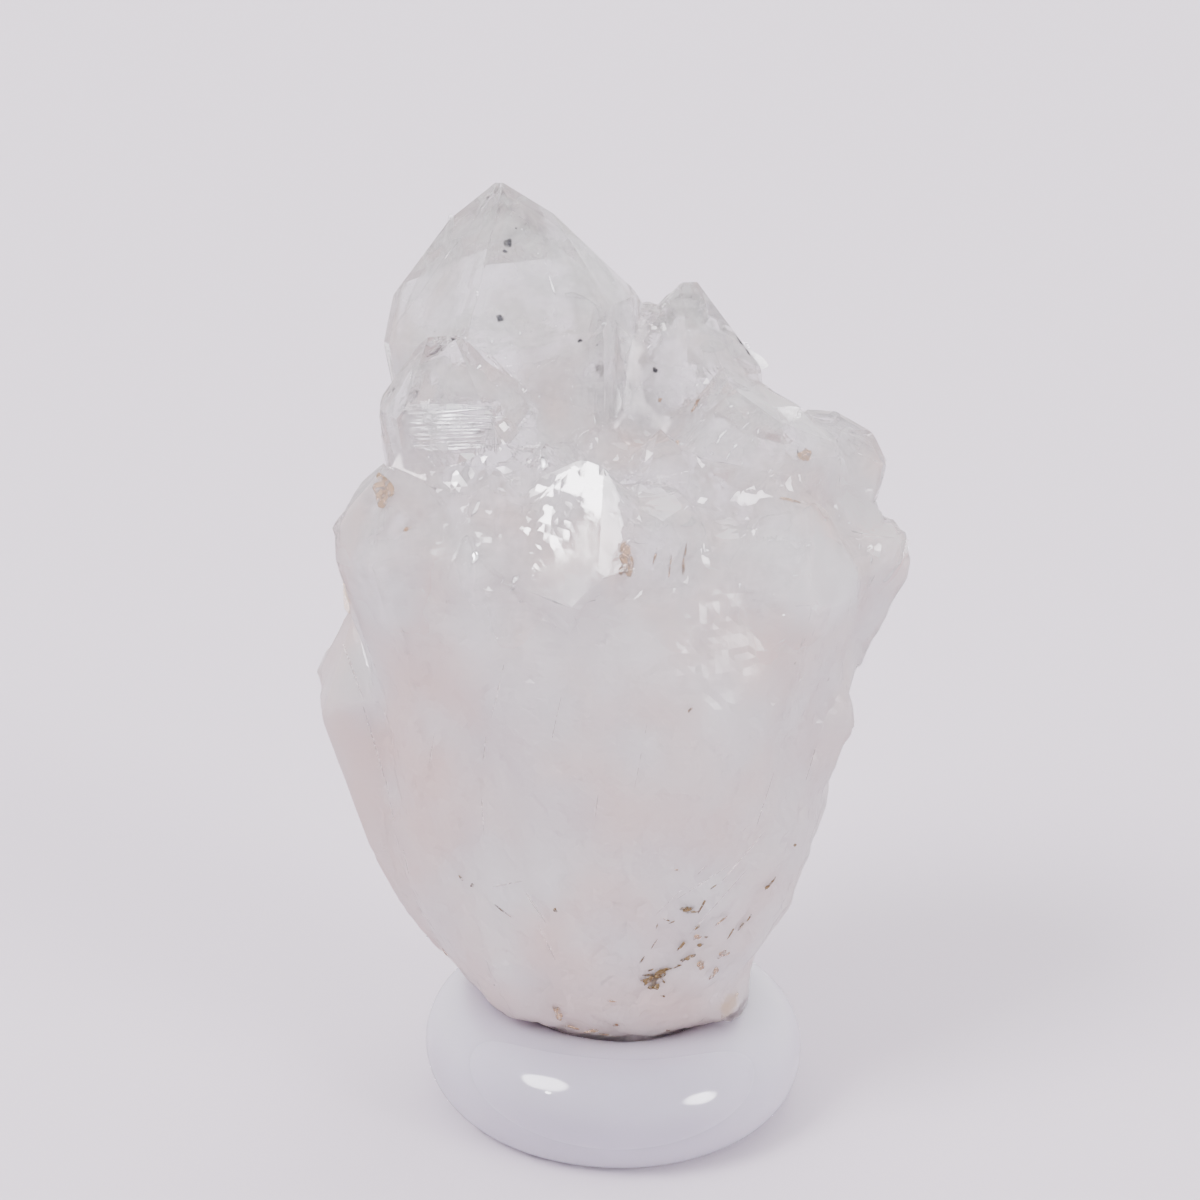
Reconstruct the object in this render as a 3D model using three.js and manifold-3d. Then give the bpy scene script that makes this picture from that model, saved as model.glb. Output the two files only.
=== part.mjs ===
// A quartz cluster standing in a moulded ring.
// Millimetres, +Z up. The cluster's front looks along -Y, and +X is on the viewer's right.
// Crystals are laid out about the ring's axis; the finished group is then centred on its own box.
import * as THREE from "three";
import { ConvexGeometry } from "three/addons/geometries/ConvexGeometry.js";
import { mergeVertices } from "three/addons/utils/BufferGeometryUtils.js";
import Module from "manifold-3d";

// Driving dimensions.
const RING_OUTER_DIAMETER = 20;
const RING_TUBE_DIAMETER = 6.3;
const RING_HEIGHT = 6.1;
const RING_SECTION_STEPS = 18;
const RING_TURN_STEPS = 54;
const SEAT_GAP = 0.3;

// Quartz: the faces of the point stand this far above the plane square to the long axis.
const POINT_FACE_RISE = THREE.MathUtils.degToRad(38.2);
const PRISM_SIDES = 6;

const QUARTZ_COLOUR = 0xd9d4d6;
const QUARTZ_ROUGHNESS = 0.12;
const RING_COLOUR = 0xdcdae2;
const RING_ROUGHNESS = 0.28;

// The milky body: sections from the root up, as height, left, right, front and back reach.
const BODY_SECTIONS = [
  { z: 2.4, left: 0.0, right: 0.0, front: 0.0, back: 0.0 },
  { z: 3.0, left: 2.9, right: 2.9, front: 2.8, back: 2.8 },
  { z: 4.6, left: 4.6, right: 4.6, front: 4.2, back: 4.2 },
  { z: 6.3, left: 7.2, right: 6.6, front: 5.9, back: 5.6 },
  { z: 8.6, left: 9.0, right: 6.9, front: 7.1, back: 6.8 },
  { z: 12.0, left: 10.6, right: 8.5, front: 8.3, back: 8.0 },
  { z: 16.0, left: 11.3, right: 9.9, front: 9.1, back: 8.8 },
  { z: 20.0, left: 12.0, right: 10.4, front: 9.6, back: 9.2 },
  { z: 24.0, left: 13.2, right: 10.6, front: 9.8, back: 9.3 },
  { z: 27.5, left: 14.1, right: 10.5, front: 9.6, back: 9.1 },
  { z: 30.5, left: 13.7, right: 9.8, front: 8.6, back: 8.3 },
  { z: 32.6, left: 11.2, right: 8.0, front: 6.2, back: 6.2 },
  { z: 34.0, left: 0.0, right: 0.0, front: 0.0, back: 0.0 },
];
const BODY_TURN_STEPS = 44;
const BODY_HEIGHT_STEPS = 30;
const BODY_SQUARENESS = 0.92;
const BODY_CREASES = [
  { depth: 0.07, turn: -2.3, drift: 0.006, width: 0.16, from: 11, to: 29 },
  { depth: 0.05, turn: -0.75, drift: -0.012, width: 0.18, from: 14, to: 30 },
  { depth: 0.06, turn: 0.9, drift: 0.01, width: 0.2, from: 8, to: 29 },
  { depth: 0.06, turn: 2.0, drift: -0.008, width: 0.2, from: 10, to: 30 },
];
const BODY_LUMPS = [
  { size: 0.022, around: 3, up: 0.21, start: 0.6 },
  { size: 0.018, around: 5, up: -0.33, start: 2.1 },
  { size: 0.012, around: 8, up: 0.52, start: 4.4 },
];

// Crystals: tip and root of the long axis, girth from axis to face at the shoulder, turn of the
// first face about the axis in degrees, how far each point face stands outside the tip, and
// how much each side face stands in or out of the even hexagon.
const EVEN_SIDES = [1, 1, 1, 1, 1, 1];
const CRYSTALS = {
  main: {
    tip: [-6.9, 4.0, 47.0], root: [-2.6, 1.5, 8], girth: 5.55, foot: 2.8, turn: 220,
    point: [0.35, 0.4, 1.3, 0.2, 0.6, 1.7], sides: [1.03, 1, 1.04, 1, 0.96, 1.02],
  },
  second: {
    tip: [2.3, 5.0, 42.5], root: [2.4, 2, 8], girth: 3.2, foot: 1.8, turn: 245,
    point: [0.3, 0.1, 0.5, 0.6, 0.1, 0.5], sides: [1, 1.05, 1.12, 1, 1, 1],
  },
  third: {
    tip: [5.9, 1.2, 40.2], root: [3.2, -1.0, 8], girth: 4.2, foot: 2.8, turn: 255,
    point: [0.2, 0.5, 0.5, 0.4, 0.8, 0.3], sides: [1, 0.98, 0.95, 1, 1, 1],
    breaks: [
      { at: [6.1, 1.2, 37.9], facing: [0.5, -0.05, 1] },
      { at: [3.6, -1.5, 37.4], facing: [-0.5, -0.6, 1] },
    ],
  },
  fourth: {
    tip: [10.2, 3.2, 37.3], root: [4.2, 1.5, 9], girth: 2.8, foot: 1.4, turn: 235,
    point: [0.3, 0, 0.8, 0.1, 0.2, 0.7], sides: [1, 1, 1.04, 1, 1, 1],
    breaks: [{ at: [10.2, 3, 36.2], facing: [0.25, -0.3, 1] }],
  },
  fifth: {
    tip: [12.8, -0.2, 32.9], root: [3.4, 0, 9], girth: 1.95, foot: 1.2, turn: 250,
    point: [0.1, 0.2, 0, 0.5, 0.3, 0.6], sides: [1.2, 1, 1, 1, 1, 1.2],
    breaks: [{ at: [12.2, -0.2, 31.8], facing: [0.04, -0.1, 1] }],
  },
  frontRight: {
    tip: [8.0, -4.4, 34.3], root: [3.8, -3.0, 8], girth: 3.2, foot: 2.2, turn: 262,
    point: [0.2, 0, 0.7, 0.3, 0.6, 1.0], sides: [1, 1, 1, 1, 1, 1.12],
    breaks: [{ at: [8.0, -4.4, 33.9], facing: [-0.3, 0.2, 1] }],
  },
  leftFront: {
    tip: [-9.5, -2.8, 41.0], root: [-4.6, -1.4, 8], girth: 2.6, foot: 1.7, turn: 266,
    point: [0, 0.5, 0.8, 0.2, 0.8, 0.4], sides: [0.8, 1.22, 1.2, 0.9, 1.15, 1.12],
  },
  centreLeft: {
    tip: [-6.9, -0.6, 40.6], root: [-2.2, -0.8, 8], girth: 3.3, foot: 1.6, turn: 246,
    point: [0.4, 0, 1.2, 0.4, 0.5, 0.1], sides: [1, 1.05, 1.25, 1, 0.9, 0.9],
  },
  frontCentre: {
    tip: [-2.3, -7.6, 36.5], root: [-4.0, -1.2, 14], girth: 3.6, foot: 2.2, turn: 243,
    point: [-0.5, 0.1, 0.5, 0.3, 0.5, 0.8], sides: [1, 0.9, 0.9, 1, 1, 1.05],
  },
  frontSmall: {
    tip: [0.9, -6.6, 35.6], root: [0.6, -2.9, 10], girth: 2.1, foot: 1.4, turn: 258,
    point: [0.3, 0.2, 0.4, 0.2, 0.5, 0.6], sides: EVEN_SIDES,
    breaks: [{ at: [0.9, -6.5, 34.6], facing: [0.1, -0.35, 1] }],
  },
  leftMost: {
    tip: [-11.5, -4.8, 34.9], root: [-7.2, -2.8, 16], girth: 2.5, foot: 1.3, turn: 222,
    point: [0.4, 0.1, 0.8, 0.4, 0.6, 1.2], sides: [1.2, 1, 1.1, 1, 1.1, 1.3],
  },
  leftOuter: {
    tip: [-13.2, 1.4, 27.3], root: [-6.9, 0.9, 4.6], girth: 3.9, foot: 2.7, turn: 244,
    point: [0.2, 0.6, 0.3, 0, 0.4, 0.6], sides: [1, 1, 1, 0.95, 1, 1],
    breaks: [
      { at: [-15.5, 1.4, 22.4], facing: [-1, -0.2, 0.4] },
      { at: [-13.2, 1.4, 13.6], facing: [-1, -0.2, -0.55] },
      { at: [-10.2, 0.9, 8.6], facing: [-1, -0.3, -1.1] },
    ],
  },
  leftSliver: {
    tip: [-6.6, -6.6, 35.5], root: [-4.0, -3.2, 14], girth: 1.2, foot: 1.0, turn: 238,
    point: [0, 0.2, 0.3, 0.2, 0.4, 0.1], sides: EVEN_SIDES,
  },
  middleSliver: {
    tip: [-4.2, -5.2, 36.6], root: [-2.4, -2.2, 14], girth: 1.4, foot: 0.9, turn: 285,
    point: [0.1, 0, 0.5, 0.3, 0.2, 0.3], sides: EVEN_SIDES,
  },
  rightSliver: {
    tip: [1.2, -2.8, 36.8], root: [0.8, -1.0, 14], girth: 1.5, foot: 1.0, turn: 225,
    point: [0.2, 0, 0.3, 0.2, 0.5, 0.3], sides: EVEN_SIDES,
  },
  rightLedge: {
    tip: [10.1, -2.8, 25.9], root: [3.4, -1.8, 6], girth: 2.0, foot: 1.5, turn: 250,
    point: [0.1, 0.4, 0, 0.3, 0.2, 0.5], sides: EVEN_SIDES,
    breaks: [{ at: [9.8, -2.8, 25.0], facing: [0.3, -0.3, 1] }],
  },
  stepLeft: {
    tip: [-6.0, -6.4, 13.4], root: [-2.6, -3.0, 4.5], girth: 1.8, foot: 1.6, turn: 262,
    point: [0.2, 0.1, 0, 0.3, 0.2, 0.3], sides: EVEN_SIDES,
  },
  leftBehind: {
    tip: [-10.8, -1.4, 38.2], root: [-5.4, -0.4, 8], girth: 1.9, foot: 1.3, turn: 252,
    point: [0, 0.4, 0.3, 0.2, 0.6, 0.2], sides: EVEN_SIDES,
  },
  frontLeftLow: {
    tip: [-7.6, -7.9, 32.7], root: [-4.6, -3.4, 14], girth: 1.3, foot: 1.1, turn: 236,
    point: [0.1, 0.3, 0, 0.2, 0.4, 0.2], sides: EVEN_SIDES,
  },
  backCorner: {
    tip: [9.0, 6.2, 29.6], root: [4.4, 3.0, 8], girth: 2.8, foot: 2.4, turn: 40,
    point: [0, 0.4, 0.3, 0.2, 0.5, 0.6], sides: EVEN_SIDES,
  },
  backMiddle: {
    tip: [-2.0, 8.0, 39.6], root: [-1.0, 3.4, 8], girth: 3.5, foot: 2.9, turn: 70,
    point: [0.1, 0, 0.6, 0.3, 0.5, 0.7], sides: EVEN_SIDES,
  },
  backRight: {
    tip: [5.6, 8.2, 35.2], root: [3.0, 3.8, 8], girth: 3.1, foot: 2.9, turn: 50,
    point: [0.1, 0.5, 0, 0.6, 0.2, 0.4], sides: EVEN_SIDES,
  },
  backLeft: {
    tip: [-8.8, 7.2, 36.2], root: [-4.2, 3.2, 8], girth: 3.1, foot: 2.8, turn: 85,
    point: [0.3, 0, 0.5, 0.2, 0.6, 0.2], sides: EVEN_SIDES,
  },
  backLow: {
    tip: [1.4, 9.9, 32.2], root: [0.6, 4.6, 8], girth: 2.6, foot: 2.6, turn: 62,
    point: [0, 0.4, 0.3, 0.2, 0.5, 0.6], sides: EVEN_SIDES,
  },
  backEdge: {
    tip: [-8.6, 7.6, 26.8], root: [-4.6, 3.4, 6], girth: 2.7, foot: 2.3, turn: 95,
    point: [0, 0.2, 0.6, 0.3, 0.5, 0.1], sides: EVEN_SIDES,
  },
};

// Rounded lumps and ridges: centre, half sizes, lean to the right and turn, both in degrees.
const LUMPS = [
  { at: [5.2, -2.9, 7.1], half: [1.9, 1.7, 2.2], lean: 0, turn: 10 },
  { at: [-3.6, -3.6, 8.2], half: [3.6, 2.8, 2.1], lean: 0, turn: -25 },
  { at: [1.6, -3.6, 7.8], half: [4.0, 2.8, 2.2], lean: 0, turn: 12 },
  { at: [6.2, -0.4, 17.4], half: [4.4, 5.2, 4.2], lean: 0, turn: 0 },
  { at: [5.0, -4.8, 14.6], half: [2.1, 2.7, 7.0], lean: 36, turn: 14 },
  { at: [3.0, -4.8, 10.4], half: [1.7, 2.5, 5.2], lean: 46, turn: 8 },
  { at: [-6.4, 4.6, 14.0], half: [2.6, 3.0, 7.0], lean: -24, turn: -10 },
];
const LUMP_DETAIL = 2;

const wasm = await Module();
wasm.setup();

// Turns a closed geometry into a solid that can be joined and cut.
function toSolid(geometry) {
  const bare = geometry.index ? geometry.toNonIndexed() : geometry.clone();
  bare.deleteAttribute("normal");
  bare.deleteAttribute("uv");
  const merged = mergeVertices(bare, 1e-4);
  return new wasm.Manifold(new wasm.Mesh({
    numProp: 3,
    vertProperties: new Float32Array(merged.attributes.position.array),
    triVerts: new Uint32Array(merged.index.array),
  }));
}

// Turns a joined or cut solid back into a geometry.
function toGeometry(solid) {
  const mesh = solid.getMesh();
  const geometry = new THREE.BufferGeometry();
  geometry.setAttribute("position", new THREE.BufferAttribute(mesh.vertProperties, 3));
  geometry.setIndex(new THREE.BufferAttribute(mesh.triVerts, 1));
  geometry.computeVertexNormals();
  return geometry;
}

// The point where three planes meet, or null where they have no single one.
function meetingPoint(a, b, c) {
  const normals = new THREE.Matrix3().set(
    a.normal.x, a.normal.y, a.normal.z,
    b.normal.x, b.normal.y, b.normal.z,
    c.normal.x, c.normal.y, c.normal.z,
  );
  if (Math.abs(normals.determinant()) < 1e-6) {
    return null;
  }
  return new THREE.Vector3(-a.constant, -b.constant, -c.constant).applyMatrix3(normals.invert());
}

// The convex solid behind a set of outward planes: its corners are the meeting points
// of three planes that no other plane cuts off.
function solidBehindPlanes(planes) {
  const corners = [];
  for (let i = 0; i < planes.length; i += 1) {
    for (let j = i + 1; j < planes.length; j += 1) {
      for (let k = j + 1; k < planes.length; k += 1) {
        const corner = meetingPoint(planes[i], planes[j], planes[k]);
        const kept = corner && planes.every((plane) => plane.distanceToPoint(corner) < 1e-6);
        if (kept && corners.every((other) => other.distanceTo(corner) > 1e-3)) {
          corners.push(corner);
        }
      }
    }
  }
  return toSolid(new ConvexGeometry(corners));
}

// One crystal: six side faces that narrow from the shoulder to the root, six faces that
// make the point, the plane of the root, and any broken faces.
function crystal({ tip, root, girth, foot, turn, point, sides, breaks = [] }) {
  const top = new THREE.Vector3(...tip);
  const bottom = new THREE.Vector3(...root);
  const axis = top.clone().sub(bottom).normalize();
  const across = new THREE.Vector3(1, 0, 0).addScaledVector(axis, -axis.x).normalize();
  const deep = axis.clone().cross(across);
  const shoulder = top.clone().addScaledVector(axis, -girth / Math.tan(POINT_FACE_RISE));
  const narrowing = Math.atan((girth - foot) / shoulder.distanceTo(bottom));
  const planes = [new THREE.Plane().setFromNormalAndCoplanarPoint(axis.clone().negate(), bottom)];
  for (let face = 0; face < PRISM_SIDES; face += 1) {
    const angle = THREE.MathUtils.degToRad(turn + face * 360 / PRISM_SIDES);
    const out = across.clone().multiplyScalar(Math.cos(angle)).addScaledVector(deep, Math.sin(angle));
    const side = out.clone().multiplyScalar(Math.cos(narrowing)).addScaledVector(axis, -Math.sin(narrowing));
    const slope = out.clone().multiplyScalar(Math.cos(POINT_FACE_RISE));
    slope.addScaledVector(axis, Math.sin(POINT_FACE_RISE));
    const onSide = shoulder.clone().addScaledVector(out, girth * sides[face]);
    const onSlope = top.clone().addScaledVector(slope, point[face]);
    planes.push(new THREE.Plane().setFromNormalAndCoplanarPoint(side, onSide));
    planes.push(new THREE.Plane().setFromNormalAndCoplanarPoint(slope, onSlope));
  }
  for (const { at, facing } of breaks) {
    const normal = new THREE.Vector3(...facing).normalize();
    planes.push(new THREE.Plane().setFromNormalAndCoplanarPoint(normal, new THREE.Vector3(...at)));
  }
  return solidBehindPlanes(planes);
}

// A rounded lump: a faceted ball stretched to its half sizes.
function lump({ at, half, lean, turn }) {
  const geometry = new THREE.IcosahedronGeometry(1, LUMP_DETAIL);
  geometry.scale(...half);
  geometry.rotateY(THREE.MathUtils.degToRad(lean));
  geometry.rotateZ(THREE.MathUtils.degToRad(turn));
  geometry.translate(...at);
  return toSolid(geometry);
}

// The reach of the body at a share of its height, read from a smooth curve through the sections.
function bodyCurve(key) {
  return new THREE.CatmullRomCurve3(
    BODY_SECTIONS.map((section) => new THREE.Vector3(section.z, section[key], 0)), false, "centripetal");
}

// How far creases draw the surface in: each is a shallow valley that follows a line up the
// body and fades out at both ends.
function creaseDepth(turn, z) {
  return BODY_CREASES.reduce((sum, crease) => {
    const aside = (turn - crease.turn - crease.drift * (z - crease.from)) / crease.width;
    const along = (z - crease.from) / (crease.to - crease.from);
    const fade = along > 0 && along < 1 ? Math.sin(Math.PI * along) : 0;
    return sum + crease.depth * fade * Math.exp(-aside * aside);
  }, 0);
}

// The milky body: a ball whose rings are moved to the sections, squared a little
// and raised into shallow lumps by waves that run around and up it.
function body() {
  const [left, right, front, back] = ["left", "right", "front", "back"].map(bodyCurve);
  const geometry = new THREE.SphereGeometry(1, BODY_TURN_STEPS, BODY_HEIGHT_STEPS);
  geometry.rotateX(Math.PI / 2);
  const position = geometry.attributes.position;
  for (let index = 0; index < position.count; index += 1) {
    const up = THREE.MathUtils.clamp(position.getZ(index), -1, 1);
    const share = 1 - Math.acos(up) / Math.PI;
    const turn = Math.atan2(position.getY(index), position.getX(index));
    const across = (Math.cos(turn) < 0 ? left : right).getPoint(share);
    const deep = (Math.sin(turn) < 0 ? front : back).getPoint(share);
    const z = across.x;
    const swell = BODY_LUMPS.reduce(
      (sum, wave) => sum + wave.size * Math.sin(wave.around * turn + wave.up * z + wave.start),
      1 - creaseDepth(turn, z));
    const x = Math.sign(Math.cos(turn)) * Math.abs(Math.cos(turn)) ** BODY_SQUARENESS * across.y;
    const y = Math.sign(Math.sin(turn)) * Math.abs(Math.sin(turn)) ** BODY_SQUARENESS * deep.y;
    position.setXYZ(index, x * swell, y * swell, z);
  }
  return toSolid(geometry);
}

// The ring's section: a round tube with its underside cut flat, grown outwards by the margin.
function ringProfile(margin) {
  const tube = RING_TUBE_DIAMETER / 2;
  const middle = (RING_OUTER_DIAMETER - RING_TUBE_DIAMETER) / 2;
  const height = RING_HEIGHT - tube;
  const start = -Math.acos(height / tube);
  const points = [];
  for (let step = 0; step <= RING_SECTION_STEPS; step += 1) {
    const share = step / RING_SECTION_STEPS;
    const angle = -Math.PI / 2 + THREE.MathUtils.lerp(-start, 2 * Math.PI + start, share);
    points.push(new THREE.Vector2(
      middle + (tube + margin) * Math.cos(angle), height + (tube + margin) * Math.sin(angle)));
  }
  points.push(points[0].clone());
  return points;
}

// A ring about the vertical axis: its section turned all the way round.
function ring(margin) {
  const geometry = new THREE.LatheGeometry(ringProfile(margin), RING_TURN_STEPS);
  geometry.rotateX(Math.PI / 2);
  return geometry;
}

// The whole cluster: body, crystals and lumps joined in one, hollowed to clear the ring.
function cluster() {
  let solid = body();
  for (const shape of Object.values(CRYSTALS)) {
    solid = solid.add(crystal(shape));
  }
  for (const shape of LUMPS) {
    solid = solid.add(lump(shape));
  }
  return toGeometry(solid.subtract(toSolid(ring(SEAT_GAP))));
}

const quartz = new THREE.Mesh(
  cluster(),
  new THREE.MeshStandardMaterial({ color: QUARTZ_COLOUR, roughness: QUARTZ_ROUGHNESS, metalness: 0, flatShading: true }),
);
quartz.name = "quartz_cluster";

const stand = new THREE.Mesh(
  ring(0),
  new THREE.MeshStandardMaterial({ color: RING_COLOUR, roughness: RING_ROUGHNESS, metalness: 0 }),
);
stand.name = "ring_stand";

const part = new THREE.Group();
part.add(quartz, stand);
const middle = new THREE.Box3().setFromObject(part).getCenter(new THREE.Vector3());
part.position.set(-middle.x, -middle.y, 0);
part.updateMatrixWorld(true);

export default part;
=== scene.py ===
"""A quartz cluster standing in its ring: clear crystal points over a milky body with iron stains.

Lengths are in millimetres in this file and become metres where a mesh is made.
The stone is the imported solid, cut finer and roughened, with its milk, veils and stains inside and on it.
"""

import math

import bmesh
import bpy
import numpy as np
from mathutils import Matrix, Vector
from mathutils.bvhtree import BVHTree


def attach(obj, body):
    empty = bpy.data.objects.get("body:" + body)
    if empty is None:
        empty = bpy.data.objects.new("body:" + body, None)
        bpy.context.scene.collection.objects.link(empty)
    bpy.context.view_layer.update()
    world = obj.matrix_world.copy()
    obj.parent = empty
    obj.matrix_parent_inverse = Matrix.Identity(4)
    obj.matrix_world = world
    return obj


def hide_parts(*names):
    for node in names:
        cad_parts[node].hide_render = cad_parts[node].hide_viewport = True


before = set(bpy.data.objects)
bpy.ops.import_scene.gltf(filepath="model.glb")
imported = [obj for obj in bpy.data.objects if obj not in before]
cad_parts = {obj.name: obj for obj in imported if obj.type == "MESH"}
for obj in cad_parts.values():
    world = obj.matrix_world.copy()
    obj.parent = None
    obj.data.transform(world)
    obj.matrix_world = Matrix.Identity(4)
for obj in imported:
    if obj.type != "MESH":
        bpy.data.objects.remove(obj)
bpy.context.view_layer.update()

MM = 0.001

# The ring's axis and sizes, as packed.
RING_AXIS = (1.0676, -1.0631)
RING_OUTER_DIAMETER = 20.0
RING_TUBE_DIAMETER = 6.3
RING_HEIGHT = 6.1
RING_INSET = 0.02
RING_TURN_STEPS = 192
RING_SECTION_STEPS = 72

# The camera: its place, the way its picture lies and its focal length for a picture 1200 wide.
CAMERA_AT = (-0.458, -113.220, 64.993)
PICTURE_RIGHT = (0.99939, 0.01107, 0.03310)
PICTURE_UP = (-0.03490, 0.31711, 0.94774)
VIEW_AHEAD = (0.0, 0.94832, -0.31730)
PICTURE_SIZE = 1200
FOCAL_PIXELS = 2368
SENSOR_WIDTH = 36.0
NEAREST_SEEN = 5 * MM

# The room's pale light, and its brighter windows: the way to each, the cosine of its half width and its gain.
ROOM_LIGHT = (1.0, 0.965, 1.0, 1)
ROOM_STRENGTH = 1.86
WINDOWS = {
    "left": ((-0.55, -0.43, 0.715), 0.975, 30.0),
    "right": ((0.76, -0.54, 0.36), 0.984, 34.0),
    "above": ((0.10, 0.35, 0.93), 0.955, 4.0),
}
WINDOW_EDGE = 0.008
# One small lamp, whose mirror image lights the upper right of the front crystal's facet.
LAMP_WAY = (-0.573, -0.6237, 0.534)
LAMP_LIMIT = 0.99955
LAMP_EDGE = 0.0001
LAMP_GAIN = 90.0
FLOOR_TONE = (0.602, 0.548, 0.616, 1)
FLOOR_REACH = 9000.0

RING_DARK = (0.43, 0.40, 0.49, 1)
RING_LIGHT = (0.50, 0.47, 0.57, 1)
CLEAR_TINT = (0.998, 0.994, 0.996, 1)
POINT_TINT = (0.967, 0.993, 0.970, 1)
VEIL_TONE = (0.985, 0.975, 0.985, 1)
FLAKE_TONE = (0.96, 0.96, 0.98, 1)

# The stone's skin: its longest edge, the least area in square millimetres of a facet, the middle of the lit
# facet at the front, seen from the ring's axis, and up to where all edges of the body are smooth.
STONE_EDGE = 0.55
FACET_AREA = 2.4
FRONT_FACET = (-3.4, -7.4, 33.2)
BODY_TOP = 28.5
# Its corners: an edge is one above CREASE_ANGLE, or above FACET_ANGLE between two facets. After the skin has
# moved, none is one below LEAST_CORNER and each is one above MOST_ROUND.
CREASE_ANGLE = math.radians(24)
FACET_ANGLE = math.radians(6)
LEAST_CORNER = math.radians(7)
MOST_ROUND = math.radians(38)
# Its slots and creases: how often it is cut finer, relaxed and filled, how far it grows before it is cut
# anew on voxels of this size, and how far the plug sinks below the skin, everywhere and at the tips.
CUT_ROUNDS = 9
BODY_ROUNDS = 9
FILL_ROUNDS = 16
SLOT_REACH = 1.0
MILK_REACH = 0.3
VOXEL = 0.41
FILL_SHARE = 1.3
PLUG_SINK = 0.12
OUTER_SINK = 1.3
# How far the body swells and how deep its pits are, and how far a facet bends.
BODY_SWELL = 0.06
BODY_PITS = 0.10
FACET_SWELL = 0.002
QUARTZ_IOR = 1.544
SEED = 7


def smoothstep(low, high, value):
    """0 below low, 1 above high, and a smooth S between them."""
    t = np.clip((value - low) / (high - low), 0.0, 1.0)
    return t * t * (3 - 2 * t)


def waves(points, pitch, seed, octaves=3):
    """A smooth random field over points: a sum of 14 sine waves for each octave, of about that pitch,
    with directions and phases from a seeded list, halved in pitch and height from octave to octave."""
    rng = np.random.default_rng(seed)
    total = np.zeros(len(points))
    height = 1.0
    for _ in range(octaves):
        ways = rng.normal(size=(14, 3))
        ways /= np.linalg.norm(ways, axis=1)[:, None]
        turns = ways * (2 * math.pi / pitch) * rng.uniform(0.6, 1.5, (14, 1))
        phases = rng.uniform(0, 2 * math.pi, 14)
        total += height * np.sin(points @ turns.T + phases).sum(1) / math.sqrt(7)
        pitch *= 0.5
        height *= 0.5
    return total


def mesh_object(name, points, faces, material):
    """A mesh piece from points in millimetres and faces of equal length, riding on the part's one body."""
    mesh = bpy.data.meshes.new(name)
    mesh.from_pydata((np.asarray(points) * MM).tolist(), [], np.asarray(faces).tolist())
    mesh.update()
    mesh.shade_smooth()
    mesh.materials.append(material)
    piece = bpy.data.objects.new(name, mesh)
    bpy.context.scene.collection.objects.link(piece)
    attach(piece, "root")
    return piece


def closed_grid(rows, columns, wrap_rows):
    """Quads over a grid whose columns close on themselves, and whose rows do too where wrap_rows is true."""
    down = np.arange(rows if wrap_rows else rows - 1)
    i, j = np.meshgrid(down, np.arange(columns), indexing="ij")
    nexti, nextj = (i + 1) % rows, (j + 1) % columns
    quads = np.stack([i * columns + j, i * columns + nextj, nexti * columns + nextj, nexti * columns + j], -1)
    return quads.reshape(-1, 4)


def mesh_points(mesh):
    """The mesh's points, in millimetres."""
    points = np.empty(len(mesh.vertices) * 3)
    mesh.vertices.foreach_get("co", points)
    return points.reshape(-1, 3) / MM


def set_mesh_points(mesh, points):
    """Moves the mesh's points to these, in millimetres."""
    mesh.vertices.foreach_set("co", (points * MM).ravel())
    mesh.update()


def point_normals(mesh):
    """The way out of the mesh at each point."""
    normals = np.empty(len(mesh.vertices) * 3)
    mesh.vertex_normals.foreach_get("vector", normals)
    return normals.reshape(-1, 3)


def store(mesh, name, values):
    """Keeps one number for each point under a name that the material reads."""
    layer = mesh.attributes.new(name, "FLOAT", "POINT")
    layer.data.foreach_set("value", np.asarray(values, dtype=np.float32))


def new_material(name):
    """A material with its node tree and its shader."""
    material = bpy.data.materials.new(name)
    material.use_nodes = True
    return material, material.node_tree, material.node_tree.nodes["Principled BSDF"]


def node_in(tree, kind, values=(), feeds=()):
    """A node of that kind, with inputs set from (name, value) pairs and fed from (name, output) pairs."""
    node = tree.nodes.new(kind)
    for name, value in values:
        node.inputs[name].default_value = value
    for name, output in feeds:
        tree.links.new(output, node.inputs[name])
    return node


def new_group(name, numbers, colours, result, kind):
    """An empty node group with the input Place, one input for each number and colour, and one output."""
    group = bpy.data.node_groups.new(name, "ShaderNodeTree")
    group.interface.new_socket("Place", in_out="INPUT", socket_type="NodeSocketVector")
    for title in numbers:
        group.interface.new_socket(title, in_out="INPUT", socket_type="NodeSocketFloat")
    for title in colours:
        group.interface.new_socket(title, in_out="INPUT", socket_type="NodeSocketColor")
    group.interface.new_socket(result, in_out="OUTPUT", socket_type=kind)
    return group, group.nodes.new("NodeGroupInput").outputs, group.nodes.new("NodeGroupOutput").inputs


def torn_noise_group():
    """Noise stretched between two limits: what lies from Low to High goes from Least to Most."""
    numbers = ("Scale", "Detail", "Roughness", "Low", "High", "Least", "Most")
    group, given, result = new_group("torn_noise", numbers, (), "Value", "NodeSocketFloat")
    cloud = node_in(group, "ShaderNodeTexNoise", (), [
        ("Vector", given["Place"]), ("Scale", given["Scale"]), ("Detail", given["Detail"]),
        ("Roughness", given["Roughness"]),
    ])
    spread = node_in(group, "ShaderNodeMapRange", (), [
        ("Value", cloud.outputs["Fac"]), ("From Min", given["Low"]), ("From Max", given["High"]),
        ("To Min", given["Least"]), ("To Max", given["Most"]),
    ])
    group.links.new(spread.outputs["Result"], result["Value"])
    return group


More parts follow.
